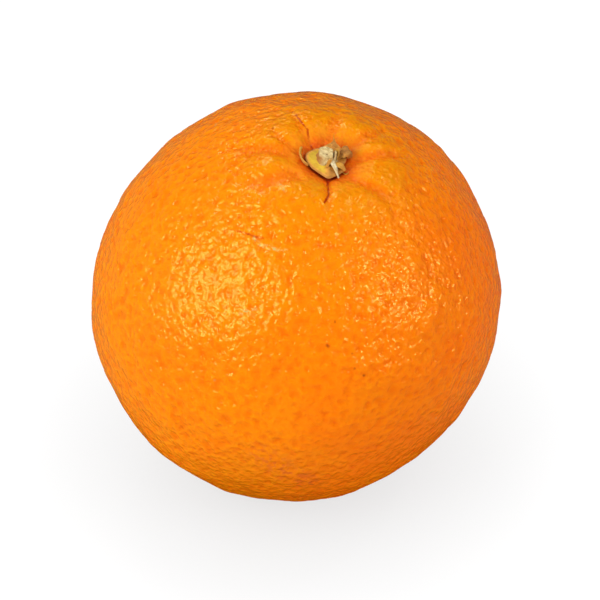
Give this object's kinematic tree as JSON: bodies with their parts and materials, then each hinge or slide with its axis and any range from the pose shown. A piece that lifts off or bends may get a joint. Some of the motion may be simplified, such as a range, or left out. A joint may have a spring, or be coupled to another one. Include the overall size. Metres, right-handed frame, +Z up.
{
  "type": "orange",
  "caption": "Whole fresh orange with a pitted peel, a sunken stem end with radial furrows, and a dried calyx with a broken stem stub.",
  "frame": {"origin": "bottom centre of the bounding box, on the plane of the small flat spot that the fruit rests on", "axes": "+Z up; the stem end is on top and leans about ten degrees from upright, towards +X and a little towards -Y, which is the side that the picture looks from"},
  "size_m": [0.0804, 0.0798, 0.0793],
  "materials": {
    "peel": "leathery rind with a waxy satin sheen, pitted all over, smoother and yellower on the lobes round the stem",
    "calyx_husk": "dried husk, yellow to olive brown, matte",
    "stem_cork": "pale corky broken stem, matte"
  },
  "bodies": {
    "root": {"fruit": "peel", "calyx": "calyx_husk", "stem_stub": "stem_cork"}
  },
  "joints": []
}
